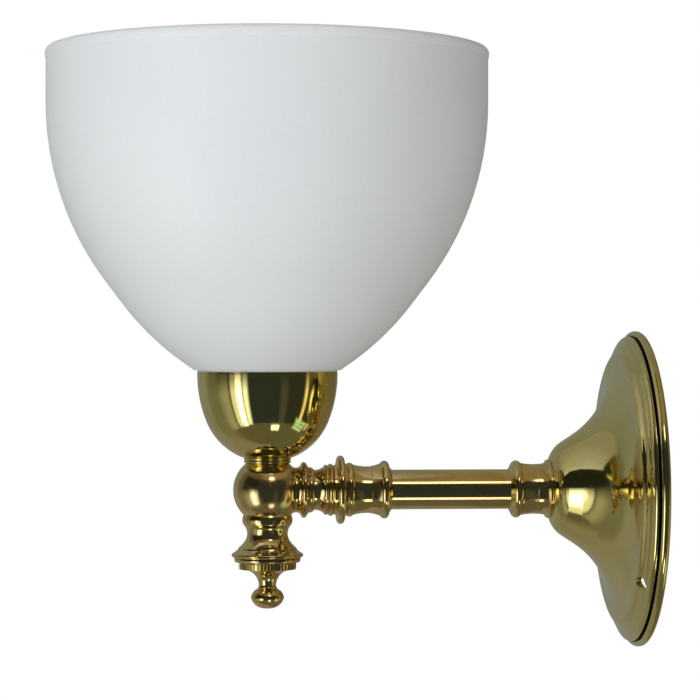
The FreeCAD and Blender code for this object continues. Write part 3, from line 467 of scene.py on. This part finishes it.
RING_PITCH = 0.0025
LAMP_PITCH = 0.00363
sleeve_phenolic = threaded("sleeve_phenolic", phenolic, "holder_skirt", RING_PITCH, depth=0.0009,
                           wall=(0.0197, 0.0203), ends=(0.006, 0.0008))
shell_brass = threaded("shell_brass", hidden_brass, "screw_shell", LAMP_PITCH, depth=0.0012,
                       wall=(0.0130, 0.0142), ends=(0.0008, 0.0010))

# %% [markdown]
# ## Dressing
# Each CAD node keeps its shape and gets its finish on its material slots. One table says which piece is
# made of what.

# %% Dress the CAD nodes
FINISHES = {
    plate_brass: ["backplate"],
    arm_brass: ["wall_collar", "arm_tube", "outer_collar", "flange_ring", "neck_spool"],
    ball_brass: ["ball"],
    head_brass: ["lamp_cup", "cup_ring"],
    cap_brass: ["bell_cap", "finial_nut"],
    hidden_brass: ["terminal_clamps", "lamp_terminals", "centre_contact"],
    shell_brass: ["screw_shell"],
    opal: ["shade"],
    zinc: ["back_washer", "terminal_strap", "earth_tag", "lock_washer", "back_nut", "clamp_screws",
           "block_screws", "arm_rod", "finial_stem", "cup_washer", "cup_nut", "head_rod",
           "terminal_screws", "shade_washer"],
    phenolic: ["holder_cap", "shade_ring"],
    sleeve_phenolic: ["holder_skirt"],
    steatite: ["holder_insert"],
    block_plastic: ["terminal_block"],
    bush_plastic: ["wire_bush"],
    gasket_rubber: ["shade_gasket"],
    brown_wire: ["live_wire"],
    blue_wire: ["neutral_wire"],
    earth: ["earth_wire"],
}
dressed = 0
for material, names in FINISHES.items():
    for name in names:
        for slot in cad[name].material_slots:
            slot.material = material
        dressed += 1
print("dressed", dressed, "of", len(cad), "nodes")

# %% [markdown]
# ## Floor
# A plain pale floor lies well below the light, as it would under a wall light. It is white to the camera,
# and to metal and glass where no card hides it. All other rays see a matt floor that takes a shadow.

# %% Floor
FLOOR_Z = -1.2
FLOOR_SIZE = 12.0
FLOOR_WHITE = 0.96
bpy.ops.object.select_all(action="DESELECT")
bpy.ops.mesh.primitive_plane_add(size=FLOOR_SIZE, location=(HEAD_X, 0, FLOOR_Z))
floor = bpy.context.object
floor.name = "floor"
floor_white = bpy.data.materials.new("floor_white")
floor_white.use_nodes = True
tree = floor_white.node_tree
matt = tree.nodes["Principled BSDF"]
matt.inputs["Base Color"].default_value = (0.85, 0.85, 0.85, 1)
matt.inputs["Roughness"].default_value = 0.9
white = node(tree, "ShaderNodeEmission", Strength=1.0)
rays = node(tree, "ShaderNodeLightPath")
seen = maths(tree, "MAXIMUM", rays.outputs["Is Camera Ray"],
             maths(tree, "MAXIMUM", rays.outputs["Is Glossy Ray"], rays.outputs["Is Transmission Ray"]))
blend = node(tree, "ShaderNodeMixShader")
join(tree, maths(tree, "MULTIPLY", seen, FLOOR_WHITE), blend.inputs["Fac"])
join(tree, matt.outputs["BSDF"], blend.inputs[1])
join(tree, white.outputs["Emission"], blend.inputs[2])
join(tree, blend.outputs["Shader"], tree.nodes["Material Output"].inputs["Surface"])
floor.data.materials.append(floor_white)
print("floor", FLOOR_SIZE, "m wide at z", FLOOR_Z)

# %% [markdown]
# ## Studio cards
# Polished metal shows the room more than itself. Here it mirrors a dark room with a pale wall and a low
# bright window on the left, a strip of light above and below the camera, and a far window with blinds on
# the right. A photographer makes such a room from cards, and here one dome stands for them all. Only
# reflections see it, so it neither lights the matt surfaces nor hides anything from the camera.

# %% Dome of cards
DOME_RADIUS = 1.1
DOME_ALONG_ARM = 0.6
DOME_AT = (HEAD_X * DOME_ALONG_ARM, 0.0, 0.03)
bpy.ops.mesh.primitive_uv_sphere_add(segments=64, ring_count=32, radius=DOME_RADIUS, location=DOME_AT)
dome = bpy.context.object
dome.name = "studio_cards"
bpy.ops.object.shade_smooth()
cards = bpy.data.materials.new("studio_cards")
cards.use_nodes = True
tree = cards.node_tree
tree.nodes.remove(tree.nodes["Principled BSDF"])
way = node(tree, "ShaderNodeVectorMath", operation="NORMALIZE")
join(tree, node(tree, "ShaderNodeTexCoord").outputs["Object"], way.inputs[0])
parts = node(tree, "ShaderNodeSeparateXYZ")
join(tree, way.outputs[0], parts.inputs[0])
# Height runs from 0 straight down to 1 straight up, and bearing from 0 to 1 round to the right,
# with 0.5 towards the camera
rise = maths(tree, "ARCSINE", parts.outputs["Z"])
height = maths(tree, "ADD", maths(tree, "DIVIDE", rise, math.pi), 0.5)
to_front = maths(tree, "MULTIPLY", parts.outputs["Y"], -1.0)
turn = maths(tree, "ARCTAN2", parts.outputs["X"], to_front)
bearing = maths(tree, "ADD", maths(tree, "DIVIDE", turn, 2 * math.pi), 0.5)
print("dome radius", DOME_RADIUS, "m")

# %% [markdown]
# The room is drawn in four layers by height: the ground, a low wall that holds the window, a high wall and
# the ceiling. Each layer is a ramp of soft-edged bands round the room. Their places are in degrees, with 0
# towards the camera for a bearing and level for a height.

# %% Ramps in degrees
FULL_TURN = 360
HALF_TURN = 180
SOFT = 2.0


def from_degrees(degrees, full):
    return degrees / full + 0.5


def band_stops(bands, full):
    """Stops for a ramp of soft-edged bands, each (start, end, value) in degrees."""
    stops = []
    for start, end, value in bands:
        stops.append((from_degrees(start, full), value))
        stops.append((from_degrees(end, full), value))
    return stops


print("0 degrees is at", from_degrees(0, FULL_TURN), "on a ramp")

# %% Layers of the room
low_room = ramp(tree, bearing, band_stops([
    (-180, -125, (0.27, 0.275, 0.25)),
    (-118, -96, (0.20, 0.21, 0.17)),
    (-82, -74, (0.38, 0.40, 0.32)),
    (-71, -69.5, (0.10, 0.11, 0.09)),
    (-67.5, -60, (1.0, 1.05, 0.9)),
    (-58, -50, (3.4, 3.6, 3.6)),
    (-48.5, -47.5, (0.08, 0.09, 0.07)),
    (-46, -41, (1.3, 1.5, 1.5)),
    (-37, 14, (0.030, 0.042, 0.046)),
    (20, 26, (0.08, 0.09, 0.08)),
    (32, 60, (0.035, 0.040, 0.036)),
    (64, 66, (1.4, 1.15, 0.6)),
    (68, 86, (0.05, 0.045, 0.03)),
    (89, 91, (0.9, 0.70, 0.32)),
    (96, 150, (0.20, 0.16, 0.10)),
    (172, 180, (0.27, 0.275, 0.25)),
], FULL_TURN))
high_room = ramp(tree, bearing, band_stops([
    (-180, -125, (0.24, 0.26, 0.24)),
    (-112, -98, (0.12, 0.13, 0.11)),
    (-90, -45, (0.018, 0.020, 0.016)),
    (-35, 60, (0.032, 0.038, 0.036)),
    (70, 150, (0.14, 0.12, 0.08)),
    (172, 180, (0.24, 0.26, 0.24)),
], FULL_TURN))
ground = ramp(tree, bearing, band_stops([
    (-180, -110, (0.26, 0.25, 0.21)),
    (-80, 150, (0.13, 0.13, 0.09)),
    (172, 180, (0.26, 0.25, 0.21)),
], FULL_TURN))
sky = ramp(tree, bearing, band_stops([
    (-180, -118, (0.24, 0.25, 0.22)),
    (-100, -36, (0.13, 0.115, 0.075)),
    (-20, 150, (0.26, 0.225, 0.14)),
    (172, 180, (0.24, 0.25, 0.22)),
], FULL_TURN))


def rises(start, end):
    """0 below one height and 1 above the other, in degrees."""
    return ramp(tree, height, [(from_degrees(start, HALF_TURN), 0.0), (from_degrees(end, HALF_TURN), 1.0)])


GROUND_EDGE = (-46, -42)
WALL_EDGE = (-13, 2)
CEILING_EDGE = (32, 38)
room = mix_colours(tree, rises(*GROUND_EDGE), ground, low_room)
room = mix_colours(tree, rises(*WALL_EDGE), room, high_room)
room = mix_colours(tree, rises(*CEILING_EDGE), room, sky)
print("layers meet at heights", GROUND_EDGE, WALL_EDGE, CEILING_EDGE)

# %% [markdown]
# Two bright strips, above and below the camera, draw the lines along the tube. A far window with blinds
# stands low on the right. Each is a card with soft edges, laid over the layers.

# %% Strips and blinds
def window_mask(angle, full, start, end):
    """1 between two angles, fading to 0 over SOFT degrees outside them."""
    return ramp(tree, angle, [(from_degrees(start - SOFT, full), 0.0), (from_degrees(start, full), 1.0),
                              (from_degrees(end, full), 1.0), (from_degrees(end + SOFT, full), 0.0)])


def patch(bearings, heights, colour, under):
    """A soft-edged card between two bearings and two heights, over what is already there."""
    across = window_mask(bearing, FULL_TURN, *bearings)
    upward = window_mask(height, HALF_TURN, *heights)
    return mix_colours(tree, maths(tree, "MULTIPLY", across, upward), under, colour)


STRIP_LIGHT = (3.0, 2.9, 2.7)
STRIP_BEARINGS = (3, 20)
STRIP_HEIGHTS = ((36, 44), (-57, -49))
BLIND_LIGHT = (0.55, 0.95, 0.62)
BLIND_BEARINGS = (56, 84)
SLATS = (-48, -43, -38)
SLAT_BELOW, SLAT_ABOVE = 1.2, 0.6
for heights in STRIP_HEIGHTS:
    room = patch(STRIP_BEARINGS, heights, STRIP_LIGHT, room)
for slat in SLATS:
    room = patch(BLIND_BEARINGS, (slat - SLAT_BELOW, slat + SLAT_ABOVE), BLIND_LIGHT, room)
glow = node(tree, "ShaderNodeEmission", Strength=1.0)
join(tree, room, glow.inputs["Color"])
join(tree, glow.outputs["Emission"], tree.nodes["Material Output"].inputs["Surface"])
dome.data.materials.append(cards)
dome.visible_camera = False
dome.visible_diffuse = False
dome.visible_transmission = False
dome.visible_volume_scatter = False
dome.visible_shadow = False
print("cards drawn with", len(tree.nodes), "nodes")

# %% [markdown]
# ## Light
# The bowl is brightest left of its middle and falls to a soft grey on the right, so one large soft lamp
# stands on the left in front. A weaker one shines up from below the camera, and the white world fills the
# rest. The lamps are hidden from reflections, because the cards already give the metal its highlights.

# %% Lamps
def soft_lamp(name, place, aim, size, power, colour):
    """A square lamp at a place, aimed at a point, that reflections don't see."""
    light = bpy.data.lights.new(name, "AREA")
    light.shape = "SQUARE"
    light.size = size
    light.energy = power
    light.color = colour
    lamp = bpy.data.objects.new(name, light)
    lamp.location = place
    lamp.rotation_euler = (Vector(aim) - Vector(place)).to_track_quat("-Z", "Y").to_euler()
    lamp.visible_glossy = False
    scene.collection.objects.link(lamp)
    print(name, power, "W at", place)


BOWL_MIDDLE = (HEAD_X, 0, 0.1)
soft_lamp("key_lamp", (-1.5, -1.5, 0.6), BOWL_MIDDLE, size=1.3, power=20.0, colour=(0.96, 1.0, 1.04))
soft_lamp("low_lamp", (0.1, -1.6, -0.9), BOWL_MIDDLE, size=1.4, power=10.0, colour=(0.98, 1.0, 1.03))

# %% [markdown]
# The world is plain white to the camera and to clear and shiny surfaces, and a weaker white to matt ones,
# so that the pale bowl keeps its shading.

# %% World
FILL = 0.37
world = bpy.data.worlds.new("white_room")
world.use_nodes = True
scene.world = world
tree = world.node_tree
background = tree.nodes["Background"]
background.inputs["Color"].default_value = (1, 1, 1, 1)
rays = node(tree, "ShaderNodeLightPath")
seen = maths(tree, "MAXIMUM", rays.outputs["Is Camera Ray"],
             maths(tree, "MAXIMUM", rays.outputs["Is Glossy Ray"], rays.outputs["Is Transmission Ray"]))
extra = maths(tree, "MULTIPLY", seen, 1.0 - FILL)
join(tree, maths(tree, "ADD", extra, FILL), background.inputs["Strength"])
scene.view_settings.view_transform = "Standard"
print("world fill", FILL)
